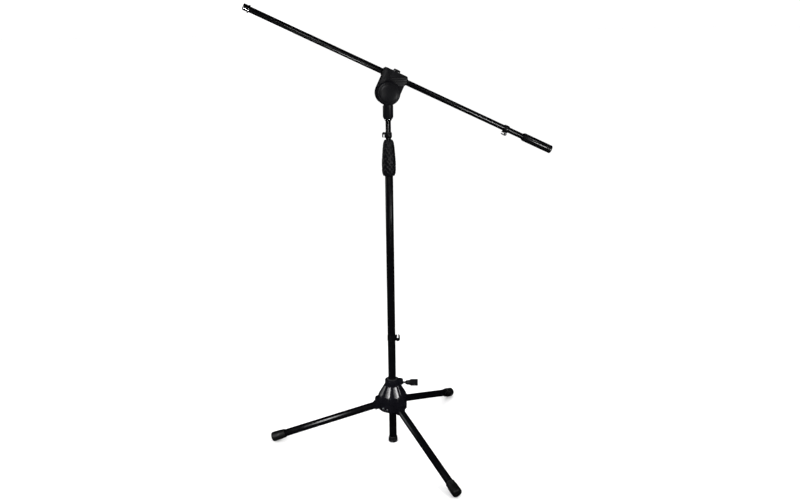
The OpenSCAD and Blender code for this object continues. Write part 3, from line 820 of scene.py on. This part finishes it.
class MICSTAND_OT_handle(bpy.types.Operator):
    """Sleeve and end plug of the boom's handle end"""
    bl_idname = "micstand.handle"
    bl_label = "Boom handle"

    def execute(self, context):
        place = boom_frame()
        outer, low, high = measure("boom_grip", place)[1:]
        tube_bore, tube_r, _, tube_end = measure("boom_tube", place)
        bore = tube_r + 0.05 * MM
        rim = outer - 2 * MM
        outline = [(bore, low), (bore + 0.9 * MM, low), (bore + 1.3 * MM, low + 0.5 * MM),
                   (outer - 0.4 * MM, low + 3.6 * MM), (outer, low + 4.6 * MM), (outer, high - 7 * MM),
                   (outer - 0.4 * MM, high - 6.6 * MM), (outer - 0.4 * MM, high - 5.4 * MM),
                   (outer, high - 5 * MM)]
        outline += arc(outer - 0.9 * MM, high - 0.9 * MM, 0.9 * MM, 0, 90, 4)
        outline += [(rim, high), (rim, tube_end), (bore, tube_end)]
        place_piece("boom_grip_skin", turned(outline, 0.15 * MM), ["boom_grip"], place)
        outer, low, high = measure("boom_end_plug", place)[1:]
        shank = tube_bore - 0.05 * MM
        outline = [(0, low), (shank - MM, low), (shank, low + MM), (shank, tube_end), (outer, tube_end),
                   (outer, high - 0.3 * MM), (outer - 0.5 * MM, high), (outer - 1.8 * MM, high),
                   (outer - 2.3 * MM, high - 0.5 * MM), (0, high - 0.5 * MM)]
        place_piece("boom_end_plug_skin", turned(outline, 0.12 * MM), ["boom_end_plug"], place)
        return {"FINISHED"}


class MICSTAND_OT_inner_parts(bpy.types.Operator):
    """Finishes of the parts that sit inside others: pad, collet, glide, bolt, washers and nut"""
    bl_idname = "micstand.inner_parts"
    bl_label = "Inner parts"

    def execute(self, context):
        for node in ("lock_pad", "clutch_collet", "inner_glide", "tilt_bolt", "tilt_washers", "tilt_nut"):
            materials = frame["nodes"][node].data.materials
            materials.clear()
            materials.append(finish_of(SLOT_OF[node]))
        return {"FINISHED"}


# ---- Studio ----

def lamp(name, place, target, width, height, power, spread=math.pi):
    """A soft area light at a place, turned to a target and kept within an angle, unseen itself."""
    light = bpy.data.lights.new(name, "AREA")
    light.shape, light.size, light.size_y = "RECTANGLE", width, height
    light.energy, light.spread = power, spread
    holder = bpy.data.objects.new(name, light)
    holder.location = place
    holder.rotation_euler = (Vector(target) - Vector(place)).to_track_quat("-Z", "Y").to_euler()
    holder.visible_camera = False
    bpy.context.scene.collection.objects.link(holder)


class MICSTAND_OT_stage(bpy.types.Operator):
    """Pale floor, soft studio light and the camera"""
    bl_idname = "micstand.stage"
    bl_label = "Studio"

    def execute(self, context):
        studio = context.scene.micstand_studio
        self.floor(studio)
        world = bpy.data.worlds.new("studio")
        world.use_nodes = True
        backdrop = world.node_tree.nodes["Background"]
        backdrop.inputs["Color"].default_value = (1, 1, 1, 1)
        backdrop.inputs["Strength"].default_value = studio.sky
        world.cycles_visibility.glossy = False
        context.scene.world = world
        context.scene.view_settings.view_transform = "Standard"
        self.lights(studio)
        self.camera(studio)
        return {"FINISHED"}

    def lights(self, studio):
        """Each light stands where the piece that it aims at mirrors it to the camera."""
        hub, clutch, swivel, boom_end = (0, 0, 0.15), (0, 0, 0.76), (0, 0, 0.88), (-0.32, 0, 1.1)
        leg, handle = (-0.17, 0.03, 0.06), (0.34, 0, 0.78)
        key_angle, side_angle, low_angle, bounce_angle = [math.radians(a) for a in (24, 28, 25, 14)]
        leg_angle, handle_angle = math.radians(22), math.radians(45)
        lamp("key", (-0.35, -2.07, 1.45), clutch, 0.4, 0.3, studio.key, key_angle)
        lamp("left", (-1.32, -1.19, 1.44), hub, 0.5, 0.5, studio.side, side_angle)
        lamp("right", (1.05, -1.47, 1.41), hub, 0.5, 0.5, studio.side, side_angle)
        lamp("leg_streak", (-1.34, -1.71, 0.70), leg, 0.6, 0.4, studio.streak, leg_angle)
        lamp("handle_streak", (0.64, -0.74, 0.63), handle, 0.35, 0.06, studio.streak, handle_angle)
        lamp("low", (-0.1, -2.1, 0.64), swivel, 0.16, 0.3, studio.low, low_angle)
        lamp("bounce", (-0.6, -0.9, 0.3), boom_end, 0.4, 0.4, studio.bounce, bounce_angle)
        lamp("rim", (-1.84, 1.07, 0.69), hub, 0.5, 0.5, studio.rim)

    def floor(self, studio):
        """A wide pale floor, with faint clouds in its colour, that dark pieces don't mirror."""
        bm = bmesh.new()
        bmesh.ops.create_grid(bm, x_segments=8, y_segments=8, size=30)
        mesh = bpy.data.meshes.new("floor")
        bm.to_mesh(mesh)
        bm.free()
        floor = bpy.data.objects.new("floor", mesh)
        bpy.context.scene.collection.objects.link(floor)
        f = Finish("studio_floor")
        darker = [c * 0.985 for c in studio.floor_colour]
        tone = f.mix(f.spread(f.noise(0.6), 0.3, 0.7), studio.floor_colour, darker)
        mesh.materials.append(f.feed(Base_Color=tone, Roughness=0.75, Specular_IOR_Level=0.1))
        floor.visible_glossy = False

    def camera(self, studio):
        """The camera, turned by its heading, pitch and roll."""
        lens = bpy.data.cameras.new("camera")
        lens.lens, lens.sensor_width, lens.clip_end = studio.lens, 36, 100
        camera = bpy.data.objects.new("camera", lens)
        ahead = Vector((math.sin(studio.heading) * math.cos(studio.pitch),
                        math.cos(studio.heading) * math.cos(studio.pitch), -math.sin(studio.pitch)))
        right = Vector((math.cos(studio.heading), -math.sin(studio.heading), 0))
        up = right.cross(ahead)
        cos, sin = math.cos(studio.roll), math.sin(studio.roll)
        turn = Matrix((right * cos + up * sin, up * cos - right * sin, -ahead)).transposed().to_4x4()
        camera.matrix_world = Matrix.Translation(studio.camera_at) @ turn
        bpy.context.scene.collection.objects.link(camera)
        bpy.context.scene.camera = camera


class MICSTAND_PT_panel(bpy.types.Panel):
    """Builds the stand piece by piece"""
    bl_idname = "MICSTAND_PT_panel"
    bl_label = "Boom microphone stand"
    bl_space_type = "VIEW_3D"
    bl_region_type = "UI"
    bl_category = "Mic Stand"

    def draw(self, context):
        for group in (context.scene.micstand, context.scene.micstand_studio):
            box = self.layout.box()
            for name in group.__annotations__:
                box.prop(group, name)
        for operator in OPERATORS:
            self.layout.operator(operator.bl_idname)


OPERATORS = (
    MICSTAND_OT_tubes, MICSTAND_OT_feet, MICSTAND_OT_hub, MICSTAND_OT_hub_lock,
    MICSTAND_OT_leg_roots, MICSTAND_OT_clutch, MICSTAND_OT_clips, MICSTAND_OT_studs,
    MICSTAND_OT_swivel_base, MICSTAND_OT_swivel_head, MICSTAND_OT_tilt_knob, MICSTAND_OT_handle,
    MICSTAND_OT_inner_parts, MICSTAND_OT_stage)
CLASSES = (MICSTAND_PG_sizes, MICSTAND_PG_studio, *OPERATORS, MICSTAND_PT_panel)


def register():
    for cls in CLASSES:
        bpy.utils.register_class(cls)
    bpy.types.Scene.micstand = bpy.props.PointerProperty(type=MICSTAND_PG_sizes)
    bpy.types.Scene.micstand_studio = bpy.props.PointerProperty(type=MICSTAND_PG_studio)


def unregister():
    del bpy.types.Scene.micstand_studio
    del bpy.types.Scene.micstand
    for cls in reversed(CLASSES):
        bpy.utils.unregister_class(cls)


def main():
    """Builds every piece, then the studio."""
    register()
    for operator in OPERATORS:
        group, name = operator.bl_idname.split(".")
        getattr(getattr(bpy.ops, group), name)()


if __name__ == "__main__":
    main()
